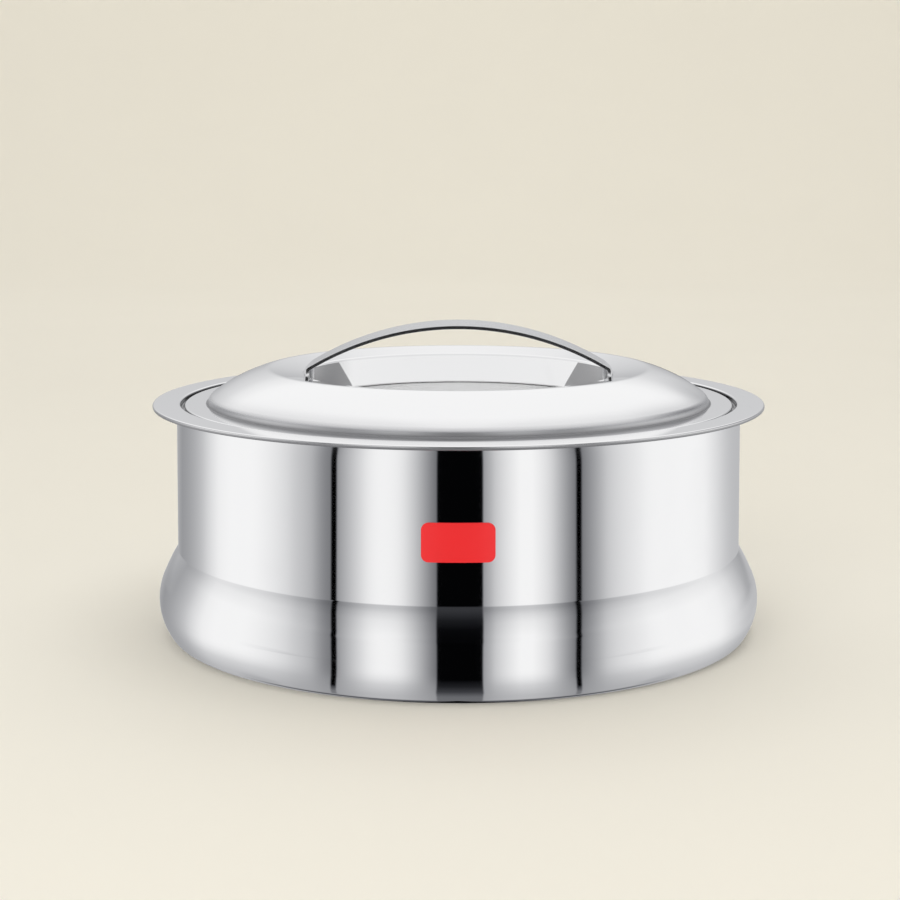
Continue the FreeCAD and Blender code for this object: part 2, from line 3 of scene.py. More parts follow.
import bpy
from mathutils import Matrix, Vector

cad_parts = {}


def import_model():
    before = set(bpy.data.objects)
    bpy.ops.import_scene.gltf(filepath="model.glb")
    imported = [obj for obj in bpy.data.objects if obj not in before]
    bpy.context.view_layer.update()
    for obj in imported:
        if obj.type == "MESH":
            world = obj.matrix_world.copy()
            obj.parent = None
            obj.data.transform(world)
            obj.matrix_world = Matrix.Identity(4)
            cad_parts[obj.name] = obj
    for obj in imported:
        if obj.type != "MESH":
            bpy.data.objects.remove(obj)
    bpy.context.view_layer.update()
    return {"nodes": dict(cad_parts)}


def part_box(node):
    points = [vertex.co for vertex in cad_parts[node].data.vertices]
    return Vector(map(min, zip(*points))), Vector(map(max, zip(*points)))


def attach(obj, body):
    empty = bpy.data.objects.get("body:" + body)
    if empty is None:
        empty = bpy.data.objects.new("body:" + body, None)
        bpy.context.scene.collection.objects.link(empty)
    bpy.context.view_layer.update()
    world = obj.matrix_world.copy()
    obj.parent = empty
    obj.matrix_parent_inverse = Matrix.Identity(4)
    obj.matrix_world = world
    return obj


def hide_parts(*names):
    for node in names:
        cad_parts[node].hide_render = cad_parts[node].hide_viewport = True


# Insulated chapati casserole: a mirror-polished steel pot and a lift-off lid with a strap handle.
# Millimetres and degrees for the pieces, metres and watts for the studio and the camera.

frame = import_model()
mm = 0.001
print("frame loaded:", ", ".join(sorted(frame["nodes"])))


def top(node):
    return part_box(node)[1][2] / mm


def bottom(node):
    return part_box(node)[0][2] / mm


def reach(node):
    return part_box(node)[1][0] / mm


# sheet metal: every sheet is a bent strip turned about the upright axis

sheetMetal = {
    "bowlGauge": 0.6,
    "shellGauge": 0.5,
    "foldGap": 0.05,
    "hemBend": 0.82,
    "hemWidth": 4.0,
    "hemEndPlay": 0.3,
    "plugHole": 6.0,
    "nearAxis": 1e-6,    # a radius under this is on the axis
    "turns": 192,        # steps around the axis
    "arcStep": 8.0,      # largest step along a bend
    "arcError": 0.01,    # largest gap between a bend and its chords
}
hemThickness = 2 * sheetMetal["bowlGauge"] + sheetMetal["shellGauge"] + 2 * sheetMetal["foldGap"]


def cornerTurn(before, corner, after):
    # directions back and ahead of a corner, and half the angle between them
    back = (before - corner).normalized()
    ahead = (after - corner).normalized()
    return back, ahead, back.angle(ahead) / 2


def sweepBend(before, corner, after, ratio):
    # the bend whose curve takes up this ratio of the shorter side at its corner
    before, corner, after = Vector(before), Vector(corner), Vector(after)
    half = cornerTurn(before, corner, after)[2]
    return ratio * min((before - corner).length, (after - corner).length) * math.tan(half)


def bentPath(corners):
    # points along the walk through (radius, height, bend) corners, each with the direction to its left
    spots = [Vector(corner[:2]) for corner in corners]
    first = (spots[1] - spots[0]).normalized()
    last = (spots[-1] - spots[-2]).normalized()
    path = [(spots[0], Vector((-first.y, first.x)))]
    for i in range(1, len(spots) - 1):
        bend = corners[i][2]
        back, ahead, half = cornerTurn(spots[i - 1], spots[i], spots[i + 1])
        start = spots[i] + back * (bend / math.tan(half))
        centre = spots[i] + (back + ahead).normalized() * (bend / math.sin(half))
        side = 1 if ahead.x * back.y - ahead.y * back.x > 0 else -1    # 1 where the walk turns left
        turn = math.pi - 2 * half
        step = min(math.radians(sheetMetal["arcStep"]), 2 * math.acos(1 - sheetMetal["arcError"] / bend))
        count = max(2, math.ceil(turn / step))
        angle = math.atan2(start.y - centre.y, start.x - centre.x)
        for j in range(count + 1):
            out = Vector((math.cos(angle + side * turn * j / count),
                          math.sin(angle + side * turn * j / count)))
            path.append((centre + out * bend, out * -side))
    path.append((spots[-1], Vector((-last.y, last.x))))
    return path


def sheetLoop(corners, gauge, way):
    # the closed outline of a sheet with its outward directions; the back lies left of the walk if way is 1
    front = bentPath(corners)
    back = [(spot + left * gauge * way, left) for spot, left in front]
    if way > 0:
        return [(spot, -left) for spot, left in reversed(front)] + back
    return front + [(spot, -left) for spot, left in reversed(back)]


def addObject(name, mesh, body, materials):
    obj = bpy.data.objects.new(name, mesh)
    bpy.context.scene.collection.objects.link(obj)
    for material in materials:
        mesh.materials.append(material)
    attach(obj, body)
    return obj


def spinSheet(name, corners, gauge, way, finishOf=None, leanOf=None):
    # turn a sheet about the axis; finishOf gives the material index at a radius and height,
    # leanOf another direction for the shading there
    loop = sheetLoop(corners, gauge, way)
    turns, nearAxis = sheetMetal["turns"], sheetMetal["nearAxis"]
    angles = [2 * math.pi * j / turns for j in range(turns)]
    around = [(math.cos(angle), math.sin(angle)) for angle in angles]
    verts = []
    rings = []
    for spot, out in loop:
        if spot.x < nearAxis:
            rings.append([len(verts)] * turns)
            verts.append((0, 0, spot.y * mm))
        else:
            rings.append(range(len(verts), len(verts) + turns))
            verts += [(spot.x * c * mm, spot.x * s * mm, spot.y * mm) for c, s in around]
    faces = []
    normals = []
    finishes = []
    half = len(loop) // 2
    for k in range(len(loop)):
        n = (k + 1) % len(loop)
        a, b = loop[k], loop[n]
        if a[0].x < nearAxis and b[0].x < nearAxis:
            continue
        outA, outB = a[1], b[1]
        if k in (half - 1, len(loop) - 1):                 # square cut end of the sheet
            along = (b[0] - a[0]).normalized()
            outA = outB = Vector((-along.y, along.x))
        finish = finishOf((a[0] + b[0]) / 2) if finishOf else 0
        if leanOf:
            row = (outA + outB) / 2
            outA, outB = leanOf(a[0], outA, row), leanOf(b[0], outB, row)
        for j in range(turns):
            m = (j + 1) % turns
            quad = [(rings[k][j], outA, j), (rings[n][j], outB, j),
                    (rings[n][m], outB, m), (rings[k][m], outA, m)]
            if a[0].x < nearAxis:
                quad.pop(3)
            elif b[0].x < nearAxis:
                quad.pop(2)
            faces.append([corner[0] for corner in quad])
            normals += [(out.x * around[i][0], out.x * around[i][1], out.y) for _, out, i in quad]
            finishes.append(finish)
    mesh = bpy.data.meshes.new(name)
    mesh.from_pydata(verts, [], faces)
    mesh.polygons.foreach_set("material_index", finishes)
    mesh.polygons.foreach_set("use_smooth", [True] * len(faces))
    mesh.normals_split_custom_set(normals)
    return mesh


def closedPlate(name, outer, inner):
    # a plate between two grids of points, closed all round its edge
    rows, columns = len(outer), len(outer[0])
    verts = [spot * mm for grid in (outer, inner) for row in grid for spot in row]
    size = rows * columns

    def at(side, i, j):
        return side * size + i * columns + j

    faces = []
    for i in range(rows - 1):
        for j in range(columns - 1):
            faces.append([at(0, i, j), at(0, i, j + 1), at(0, i + 1, j + 1), at(0, i + 1, j)])
            faces.append([at(1, i, j), at(1, i + 1, j), at(1, i + 1, j + 1), at(1, i, j + 1)])
    rim = [(0, j) for j in range(columns)] + [(i, columns - 1) for i in range(1, rows)]
    rim += [(rows - 1, j) for j in range(columns - 2, -1, -1)] + [(i, 0) for i in range(rows - 2, 0, -1)]
    for here, there in zip(rim, rim[1:] + rim[:1]):
        faces.append([at(0, *there), at(0, *here), at(1, *here), at(1, *there)])
    mesh = bpy.data.meshes.new(name)
    mesh.from_pydata(verts, [], faces)
    mesh.polygons.foreach_set("use_smooth", [True] * len(faces))
    mesh.validate()
    return mesh


def roundRim(obj, width, segments, sharpAngle=50):
    bevel = obj.modifiers.new("roundedRim", "BEVEL")
    bevel.width = width * mm
    bevel.segments = segments
    bevel.limit_method = "ANGLE"
    bevel.angle_limit = math.radians(sharpAngle)
    bevel.harden_normals = True


# pot: the outer shell, walked along its outside from the filling hole up to the edge in the rim

pot = {
    "rimWidth": 11.7,              # flat rim, from its edge to the lid seat
    "seatDepth": 2.6,
    "seatTopBend": 0.9,
    "seatFootBend": 0.7,
    "ledgeWidth": 10.1,            # ledge under the lid
    "mouthBend": 1.5,
    "bowlDraft": 2.8,
    "bowlBend": 20.0,
    "wallSpace": 1.6,
    "wallDraft": 0.8,
    "flangeBend": 1.2,
    "creaseHeight": 36.9,
    "creaseBend": 1.2,
    "bellyBulge": 11.25,
    "bellyHeight": 13.7,
    "bellyRatio": 0.8,
    "swell": 0.6,
    "swellPlace": 6.6,
    "swellBend": 85.0,
    "levelBand": (-1.8, 4.6),      # tilts that the shading skips: about level on the belly
    "creaseBand": (1.5, 29.0),     # and in the bend of the crease
    "leanLimit": 0.1,              # faces that look outwards less than this keep theirs
    "footTuck": 8.05,
    "footBend": 4.4,
    "footWidth": 12.9,
    "footStep": 2.5,
    "footStepBend": 1.2,
    "footHeight": 1.5,
    "satinInset": 0.2,             # the satin starts this far inside the mouth
    "satinDrop": 1.0,              # and this far under the ledge
}
rimRadius = reach("inner_bowl")
rimHeight = top("inner_bowl")
seatRadius = rimRadius - pot["rimWidth"]
mouthRadius = seatRadius - pot["ledgeWidth"]
ledgeHeight = rimHeight - pot["seatDepth"]
wallRadius = seatRadius + pot["wallSpace"]
creaseRadius = wallRadius + pot["wallDraft"]
bellyCorner = creaseRadius + pot["bellyBulge"]
footOuter = bellyCorner - pot["footTuck"]
footInner = footOuter - pot["footWidth"]
flangeHeight = rimHeight - sheetMetal["bowlGauge"] - sheetMetal["foldGap"] - sheetMetal["shellGauge"]


def rolledHem(radius, height):
    # corners of a hem folded under at this radius and height
    bend = sheetMetal["hemBend"]
    return [(radius, height, bend), (radius, height - hemThickness, bend),
            (radius - sheetMetal["hemWidth"], height - hemThickness, 0)]


def caughtEdge(radius):
    # radius of a sheet's edge caught in a hem
    return radius - sheetMetal["bowlGauge"] - sheetMetal["hemEndPlay"]


def bellySwell(belly, crease):
    # corner that rounds the straight slope under the crease
    belly, crease = Vector(belly), Vector(crease)
    slope = (belly - crease).normalized()
    spot = crease + slope * pot["swellPlace"] + Vector((-slope.y, slope.x)) * pot["swell"]
    return spot.x, spot.y, pot["swellBend"]


def outerShellCorners():
    foot = (footOuter, 0)
    belly = (bellyCorner, pot["bellyHeight"])
    crease = (creaseRadius, pot["creaseHeight"])
    return [
        (sheetMetal["plugHole"], pot["footHeight"], 0),
        (footInner - pot["footStep"], pot["footHeight"], pot["footStepBend"]),
        (footInner, 0, pot["footStepBend"]),
        foot + (pot["footBend"],),
        belly + (sweepBend(foot, belly, crease, pot["bellyRatio"]),),
        bellySwell(belly, crease),
        crease + (pot["creaseBend"],),
        (wallRadius, flangeHeight, pot["flangeBend"]),
        (caughtEdge(rimRadius), flangeHeight, 0),
    ]


def bellyLean(spot, out, row):
    # steps over a band of tilts, a whole row of faces at a time
    if out.x < pot["leanLimit"]:
        return out
    onBelly = spot.y < pot["creaseHeight"] - 2 * pot["creaseBend"]
    low, high = [math.sin(math.radians(tilt)) for tilt in pot["levelBand" if onBelly else "creaseBand"]]
    rise = min(out.y, low) if row.y < (low + high) / 2 else max(out.y, high)
    return Vector((math.sqrt(1 - rise ** 2), rise))


def innerBowlCorners():
    floor = bottom("inner_bowl") + sheetMetal["bowlGauge"]
    return [
        (0, floor, 0),
        (mouthRadius - pot["bowlDraft"], floor, pot["bowlBend"]),
        (mouthRadius, ledgeHeight, pot["mouthBend"]),
        (seatRadius, ledgeHeight, pot["seatFootBend"]),
        (seatRadius, rimHeight, pot["seatTopBend"]),
    ] + rolledHem(rimRadius, rimHeight)


def insideMouth(spot):
    return int(spot.x < mouthRadius - pot["satinInset"] and spot.y < ledgeHeight - pot["satinDrop"])


# lid: the dome, walked along its top from the middle of the recess, and the liner under it

lid = {
    "linerPlay": 1.3,
    "linerDraft": 0.6,
    "linerFlangeBend": 0.7,
    "linerBend": 4.0,
    "domeStep": 0.3,
    "domeFootBend": 0.7,
    "shoulderInset": 0.9,
    "shoulderRise": 2.62,
    "shoulderRatio": 0.7,
    "crownPlaceRatio": 0.522,
    "crownRise": 10.9,
    "crownRatio": 0.84,
    "crestWidth": 15.6,
    "crestRise": 14.6,
    "crestRatio": 0.11,
    "recessRadius": 66.0,
    "lipRise": 12.25,
    "lipBend": 1.4,
    "recessDrop": 0.7,
    "recessBend": 2.6,
    "recessLean": 44.5,
    "underLevel": -0.01,   # faces that look down by more than this keep their shading
    "recessMargin": 0.6,   # the recess finish ends this far outside the wall
    "recessTop": 0.9,      # and this far under the lip
    "patchReach": 47.5,    # painted shade at the ends of the recess wall, with added roughness: distance from the middle at the floor,
    "patchSlope": 0.49,    # and how it leans outwards
}
lidRadius = reach("lid_dome")
lidUnder = bottom("lid_dome")
lidTop = lidUnder + hemThickness
linerRadius = mouthRadius - lid["linerPlay"]
linerFloor = bottom("lid_liner")
recessLip = lidTop + lid["lipRise"]


def lidDomeCorners():
    foot = (linerRadius + lid["domeStep"], lidTop)
    lip = (lid["recessRadius"], recessLip)
    crest = (lid["recessRadius"] + lid["crestWidth"], lidTop + lid["crestRise"])
    shoulder = (foot[0] - lid["shoulderInset"], lidTop + lid["shoulderRise"])
    crown = (crest[0] + (shoulder[0] - crest[0]) * lid["crownPlaceRatio"], lidTop + lid["crownRise"])
    return [
        (0, lidTop - lid["recessDrop"], 0),
        (lid["recessRadius"], lidTop - lid["recessDrop"], lid["recessBend"]),
        lip + (lid["lipBend"],),
        crest + (sweepBend(lip, crest, crown, lid["crestRatio"]),),
        crown + (sweepBend(crest, crown, shoulder, lid["crownRatio"]),),
        shoulder + (sweepBend(crown, shoulder, foot, lid["shoulderRatio"]),),
        foot + (lid["domeFootBend"],),
    ] + rolledHem(lidRadius, lidTop)


def insideRecess(spot):
    if spot.x > lid["recessRadius"] + lid["recessMargin"] or spot.y > recessLip - lid["recessTop"]:
        return 0
    return 1 if spot.x > lid["recessRadius"] - lid["recessBend"] else 2


def recessLean(spot, out, row):
    # the recess wall shades like the funnel that its soft bends make of it
    lean = math.radians(lid["recessLean"])
    upright = lid["underLevel"] < out.y < math.sin(lean)
    if spot.x < lid["recessRadius"] + lid["lipBend"] and upright and out.x < 0:
        return Vector((-math.cos(lean), math.sin(lean)))
    return out


def lidLinerCorners():
    return [
        (sheetMetal["plugHole"], linerFloor, 0),
        (linerRadius - lid["linerDraft"], linerFloor, lid["linerBend"]),
        (linerRadius, top("lid_liner") - sheetMetal["shellGauge"], lid["linerFlangeBend"]),
        (caughtEdge(lidRadius), top("lid_liner") - sheetMetal["shellGauge"], 0),
    ]


# strap handle: an arched band whose ends are bent down into tabs along the recess wall

strap = {
    "width": 28.0,
    "gauge": 1.5,
    "crown": 19.15,
    "fit": 0.1,
    "outerBend": 1.8,
    "innerBend": 0.6,
    "tabDepth": 7.5,
    "corner": 4.0,         # of the tabs
    "edgeRound": 0.5,
    "edgeSteps": 3,
    "archSteps": 60,       # on each side of the top
    "bendSteps": 6,
    "tabSteps": 4,
    "acrossSteps": 12,
    "cornerSteps": 6,
}


def acrossPlaces(piece):
    # places across the width of a piece, each with how far its rounded corners cut in there
    corner, steps, count = piece["corner"], piece["cornerSteps"], piece["acrossSteps"]
    flat = piece["width"] / 2 - corner
    sides = [flat + corner * math.sin(math.radians(90 * i / steps)) for i in range(1, steps + 1)]
    middle = [flat * (2 * i / count - 1) for i in range(count + 1)]
    places = [-side for side in reversed(sides)] + middle + sides
    cuts = [corner - math.sqrt(max(0.0, corner ** 2 - max(0.0, abs(place) - flat) ** 2)) for place in places]
    return list(zip(places, cuts))


def strapGrid(faceRadius, archRadius, centreHeight, bend):
    # one face of the strap: rows across the width, columns from the right tab over to the left tab
    tabBottom = recessLip - strap["tabDepth"]
    grid = []
    for y, cut in acrossPlaces(strap):
        face = math.sqrt(faceRadius ** 2 - y ** 2)
        bendHeight = centreHeight + math.sqrt((archRadius - bend) ** 2 - (face - bend) ** 2)
        slope = math.atan2(bendHeight - centreHeight, face - bend)
        low = tabBottom + cut
        right = [(face, low + (bendHeight - low) * i / strap["tabSteps"]) for i in range(strap["tabSteps"])]
        for i in range(strap["bendSteps"] + 1):
            angle = slope * i / strap["bendSteps"]
            right.append((face - bend + bend * math.cos(angle), bendHeight + bend * math.sin(angle)))
        for i in range(1, strap["archSteps"] + 1):
            angle = slope + (math.pi / 2 - slope) * i / strap["archSteps"]
            right.append((archRadius * math.cos(angle), centreHeight + archRadius * math.sin(angle)))
        left = [(-x, z) for x, z in reversed(right[:-1])]
        grid.append([Vector((x, y, z)) for x, z in right + left])
    return grid


def strapMesh():
    faceRadius = lid["recessRadius"] - strap["fit"]
    archRadius = (faceRadius ** 2 + strap["crown"] ** 2) / (2 * strap["crown"])
    centreHeight = top("lid_handle") - archRadius
    outer = strapGrid(faceRadius, archRadius, centreHeight, strap["outerBend"])
    inner = strapGrid(faceRadius - strap["gauge"], archRadius - strap["gauge"], centreHeight,
                      strap["innerBend"])
    return closedPlate("lidStrap", outer, inner)


# badge: a blank red plate that follows the taper of the wall

badge = {
    "width": 27.8,
    "corner": 2.8,
    "gauge": 0.35,
    "glue": 0.1,
    "edgeRound": 0.12,
    "edgeSteps": 2,
    "cornerSteps": 10,
    "acrossSteps": 16,
    "upSteps": 8,
}


def badgeMesh():
    halfHeight = (top("badge") - bottom("badge")) / 2
    centre = (top("badge") + bottom("badge")) / 2
    taper = pot["wallDraft"] / (flangeHeight - pot["creaseHeight"])
    grids = []
    for depth in (badge["gauge"], 0):
        grid = []
        for across, cut in acrossPlaces(badge):
            column = []
            for j in range(badge["upSteps"] + 1):
                height = centre + (halfHeight - cut) * (2 * j / badge["upSteps"] - 1)
                radius = wallRadius + taper * (flangeHeight - height) + badge["glue"] + depth
                angle = across / creaseRadius
                column.append(Vector((radius * math.sin(angle), -radius * math.cos(angle), height)))
            grid.append(column)
        grids.append(grid)
    return closedPlate("wallBadge", grids[0], grids[1])


# shader node groups

effects = {
    "lineWrap": 1.2,           # the smaller, the longer the polishing lines run round the axis
    "lineDetail": 3.0,
    "lineRoughness": 0.7,
    "smudgeDetail": 4.0,
    "smudgeRoughness": 0.6,
    "fineSize": 7.0,           # fine smudges, times the scale of the broad ones
    "fineDetail": 3.0,
    "fineShare": 0.25,
    "smudgeEdge": 0.25,
    "cornerFade": 1.6,
    "patchEdge": 0.0004,       # metres
}


def newGroup(name, inputs, outputs):
    # inputs are (name, default), where a vector has no default, and outputs are (name, kind)
    group = bpy.data.node_groups.new(name, "ShaderNodeTree")
    for label, default in inputs:
        kind = "NodeSocketVector" if default is None else "NodeSocketFloat"
        socket = group.interface.new_socket(name=label, in_out="INPUT", socket_type=kind)
        if default is not None:
            socket.default_value = default
    for label, kind in outputs:
        group.interface.new_socket(name=label, in_out="OUTPUT", socket_type=kind)
    return group, Wiring(group)


class Wiring:
    # short ways to add and join nodes in a tree; the nodes are laid out in rows
    rowLength, stepRight, stepDown = 8, 200, 240

    def __init__(self, tree):
        self.tree = tree
        self.count = 0

    def add(self, kind, values=None, **settings):
        node = self.tree.nodes.new(kind)
        self.count += 1
        row, column = divmod(self.count, self.rowLength)
        node.location = (self.stepRight * column, -self.stepDown * row)
        for key, value in settings.items():
            setattr(node, key, value)
        for key, value in (values or {}).items():
            self.put(node.inputs[key], value)
        return node

    def put(self, socket, value):
        if isinstance(value, bpy.types.NodeSocket):
            self.tree.links.new(value, socket)
        else:
            socket.default_value = value

    def math(self, operation, *values, clamp=False):
        node = self.add("ShaderNodeMath", operation=operation, use_clamp=clamp)
        for socket, value in zip(node.inputs, values):
            self.put(socket, value)
        return node.outputs[0]

    def times(self, first, second):
        return self.math("MULTIPLY", first, second)

    def reach(self, x, y):
        # distance from the upright axis
        return self.math("SQRT", self.math("ADD", self.times(x, x), self.times(y, y)))

    def noise(self, vector, scale, detail=2.0, roughness=0.5):
        return self.add("ShaderNodeTexNoise", {"Vector": vector, "Scale": scale, "Detail": detail,
                                               "Roughness": roughness}).outputs[0]

    def spread(self, value, low, high, toLow, toHigh):
        # map a range of a value onto another, held at both ends
        node = self.add("ShaderNodeMapRange", {0: value, 1: low, 2: high, 3: toLow, 4: toHigh})
        return node.outputs[0]

    def mixColor(self, factor, first, second):
        node = self.add("ShaderNodeMix", data_type="RGBA")
        self.put(node.inputs[0], factor)
        self.put(node.inputs[6], first)
        self.put(node.inputs[7], second)
        return node.outputs[2]


def makeTurningLines():
    # polishing lines that run around the upright axis
    group, wires = newGroup("turningLines", [("Position", None), ("Fineness", 900.0)],
                            [("Lines", "NodeSocketFloat")])
    source = wires.add("NodeGroupInput")
    fineness = source.outputs["Fineness"]
    x, y, z = wires.add("ShaderNodeSeparateXYZ", {0: source.outputs["Position"]}).outputs
    radius = wires.reach(x, y)
    around = wires.math("ARCTAN2", y, x)
    across = wires.add("ShaderNodeCombineXYZ", {0: wires.times(radius, fineness),
                                                1: wires.times(z, fineness),
                                                2: wires.times(around, effects["lineWrap"])})
    lines = wires.noise(across.outputs[0], 1.0, detail=effects["lineDetail"],
                        roughness=effects["lineRoughness"])
    end = wires.add("NodeGroupOutput")
    wires.put(end.inputs["Lines"], lines)
    return group


def makeSmudges():
    # soft uneven patches left by wiping
    group, wires = newGroup("wipedSmudges", [("Position", None), ("Size", 9.0), ("Cover", 0.5)],
                            [("Smudge", "NodeSocketFloat")])
    source = wires.add("NodeGroupInput")
    broad = wires.noise(source.outputs["Position"], source.outputs["Size"], detail=effects["smudgeDetail"],
                        roughness=effects["smudgeRoughness"])
    fineSize = wires.times(source.outputs["Size"], effects["fineSize"])
    fine = wires.noise(source.outputs["Position"], fineSize, detail=effects["fineDetail"])
    mixed = wires.math("ADD", wires.times(broad, 1 - effects["fineShare"]),
                       wires.times(fine, effects["fineShare"]))
    low = wires.math("SUBTRACT", 1.0, source.outputs["Cover"])
    smudge = wires.spread(mixed, low, wires.math("ADD", low, effects["smudgeEdge"]), 0.0, 1.0)
    end = wires.add("NodeGroupOutput")
    wires.put(end.inputs["Smudge"], smudge)
    return group


def makeCornerShadeRing():
    # mask for painted shade in a corner: a ring between two radii, fading upwards from one height to another
    group, wires = newGroup("cornerShadeRing", [("Position", None), ("Inner", 0.1), ("Outer", 0.11), ("Low", 0.0),
                                           ("High", 0.01)], [("Shade", "NodeSocketFloat")])
    source = wires.add("NodeGroupInput")
    x, y, z = wires.add("ShaderNodeSeparateXYZ", {0: source.outputs["Position"]}).outputs
    radius = wires.reach(x, y)
    within = wires.times(wires.math("GREATER_THAN", radius, source.outputs["Inner"]),
                         wires.math("LESS_THAN", radius, source.outputs["Outer"]))
    fade = wires.spread(z, source.outputs["Low"], source.outputs["High"], 1.0, 0.0)
    end = wires.add("NodeGroupOutput")
    fade = wires.math("POWER", fade, effects["cornerFade"])
    wires.put(end.inputs["Shade"], wires.times(within, fade))
    return group


def makeTabEndShade():
    # mask for painted shade at both ends of a round wall, beyond a line that leans outwards
    group, wires = newGroup("tabEndShade", [("Position", None), ("Reach", 0.05), ("Slope", 0.5),
                                          ("Floor", 0.1)], [("Patch", "NodeSocketFloat")])
    source = wires.add("NodeGroupInput")
    x, y, z = wires.add("ShaderNodeSeparateXYZ", {0: source.outputs["Position"]}).outputs
    rise = wires.math("SUBTRACT", z, source.outputs["Floor"])
    line = wires.math("ADD", wires.times(rise, source.outputs["Slope"]), source.outputs["Reach"])
    beyond = wires.math("SUBTRACT", wires.math("ABSOLUTE", x), line)
    end = wires.add("NodeGroupOutput")
    wires.put(end.inputs["Patch"], wires.spread(beyond, 0.0, effects["patchEdge"], 0.0, 1.0))
    return group


cornerShadeRing = makeCornerShadeRing()
tabEndShade = makeTabEndShade()
turningLines = makeTurningLines()
wipedSmudges = makeSmudges()
print("effects made")


# materials: the scales of noise are per metre, the depths of bumps are millimetres

def newMaterial(name):
    material = bpy.data.materials.new(name)
    material.use_nodes = True
    material.node_tree.nodes.clear()
    wires = Wiring(material.node_tree)
    shader = wires.add("ShaderNodeBsdfPrincipled")
    output = wires.add("ShaderNodeOutputMaterial")
    wires.put(output.inputs[0], shader.outputs[0])
    position = wires.add("ShaderNodeTexCoord").outputs["Object"]
    return material, wires, shader, position


def placeGroup(wires, group, **values):
    node = wires.add("ShaderNodeGroup", node_tree=group)
    for key, value in values.items():
        wires.put(node.inputs[key], value)
    return node.outputs[0]


def opaque(color):
    return color + (1,)


def bumpFrom(wires, height, strength, distance):
    bump = wires.add("ShaderNodeBump", {"Height": height, "Strength": strength, "Distance": distance * mm})
    return bump.outputs[0]


def steelMaterial(name, look, corners=(), patch=None):
    material, wires, shader, position = newMaterial(name)
    shader.inputs["Metallic"].default_value = 1.0
    lines = placeGroup(wires, turningLines, Position=position, Fineness=look["fineness"])
    smudge = placeGroup(wires, wipedSmudges, Position=position, Size=look["smudgeSize"],
                        Cover=look["smudgeCover"])
    uneven = wires.math("SUBTRACT", lines, 0.5)    # the lines swing about their middle
    rough = wires.times(uneven, look["lineRough"])
    rough = wires.math("ADD", rough, wires.times(smudge, look["smudgeRough"]))
    rough = wires.math("ADD", rough, look["rough"], clamp=True)
    color = wires.mixColor(smudge, opaque(look["color"]), opaque(look["smudgeColor"]))
    # painted shade in corners and crevices: each ring darkens the colour and adds roughness
    for corner in corners:
        shade = placeGroup(wires, cornerShadeRing, Position=position, Inner=corner["inner"] * mm,
                           Outer=corner["outer"] * mm, Low=corner["low"] * mm, High=corner["high"] * mm)
        color = wires.mixColor(shade, color, opaque(corner["color"]))
        rough = wires.math("ADD", rough, wires.times(shade, corner["rough"]))
    # painted shade on the recess wall at both ends, by the tabs, with added roughness
    if patch:
        shadedEnds = placeGroup(wires, tabEndShade, Position=position, Reach=patch["reach"] * mm,
                            Slope=patch["slope"], Floor=patch["floor"] * mm)
        color = wires.mixColor(shadedEnds, color, opaque(patch["color"]))
        rough = wires.math("ADD", rough, wires.times(shadedEnds, patch["rough"]))
    wires.put(shader.inputs["Roughness"], rough)
    wires.put(shader.inputs["Base Color"], color)
    wires.put(shader.inputs["Normal"], bumpFrom(wires, lines, look["lineBump"], look["lineDepth"]))
    return material


polish = {
    "color": (0.90, 0.90, 0.905),
    "smudgeColor": (0.87, 0.87, 0.875),
    "fineness": 1400.0,
    "smudgeSize": 9.0,
    "smudgeCover": 0.45,
    "rough": 0.035,
    "lineRough": 0.02,
    "smudgeRough": 0.03,
    "lineBump": 0.02,
    "lineDepth": 0.01,
}
satin = {
    "color": (0.72, 0.72, 0.725),
    "smudgeColor": (0.68, 0.68, 0.685),
    "fineness": 2200.0,
    "smudgeSize": 6.0,
    "smudgeCover": 0.5,
    "rough": 0.27,
    "lineRough": 0.16,
    "smudgeRough": 0.06,
    "lineBump": 0.25,
    "lineDepth": 0.01,
}
# lighter copies of the polish: painted light on the recess wall and floor
recessBrightLook = dict(polish, color=(0.99, 0.99, 0.99), rough=0.10)
recessFloorLook = dict(recessBrightLook, rough=0.20)
strapLook = dict(polish, rough=0.17)
# painted shade: two rings darken the dome's foot towards the flange, the wider one also roughens it
domeFoot = {"inner": 96.0, "outer": linerRadius + lid["domeStep"] + 0.5, "low": lidTop + 0.3,
            "high": lidTop + 7.0, "color": (0.64, 0.64, 0.65), "rough": 0.42}
domeFootShade = dict(domeFoot, high=lidTop + 2.2, color=(0.36, 0.36, 0.37), rough=0.05)
# painted shade in the seat corner and on the lower part of the hem, with added roughness
seatCornerShade = {"inner": mouthRadius + 1, "outer": seatRadius + 0.1, "low": rimHeight - 0.6,
              "high": rimHeight - 0.2, "color": (0.16, 0.16, 0.165), "rough": 0.1}
hemUnderShade = {"inner": rimRadius - sheetMetal["hemWidth"] - 1, "outer": rimRadius + 1, "low": rimHeight - 0.9,
            "high": rimHeight - 0.1, "color": (0.46, 0.46, 0.47), "rough": 0.45}
# painted shade at the ends of the recess wall, by the tabs
tabShadePatch = {"reach": lid["patchReach"], "slope": lid["patchSlope"], "floor": lidTop - lid["recessDrop"],
            "color": (0.40, 0.40, 0.405), "rough": 0.15}
mirrorSteel = steelMaterial("mirrorSteel", polish)
domeSteel = steelMaterial("domeSteel", polish, [domeFoot, domeFootShade])
rimSteel = steelMaterial("rimSteel", polish, [seatCornerShade, hemUnderShade])
recessSteel = steelMaterial("recessSteel", recessBrightLook, patch=tabShadePatch)
recessFloorSteel = steelMaterial("recessFloorSteel", recessFloorLook)
strapSteel = steelMaterial("strapSteel", strapLook)
satinSteel = steelMaterial("satinSteel", satin)

foam = {
    "color": (0.86, 0.76, 0.50),
    "cellColor": (0.70, 0.58, 0.34),
    "cells": 900.0,
    "cellShare": 0.7,
    "lumps": 60.0,
    "lumpDetail": 4.0,
    "lumpShare": 0.5,
    "rough": (0.85, 0.95),
    "bump": 0.6,
    "depth": 0.8,
}


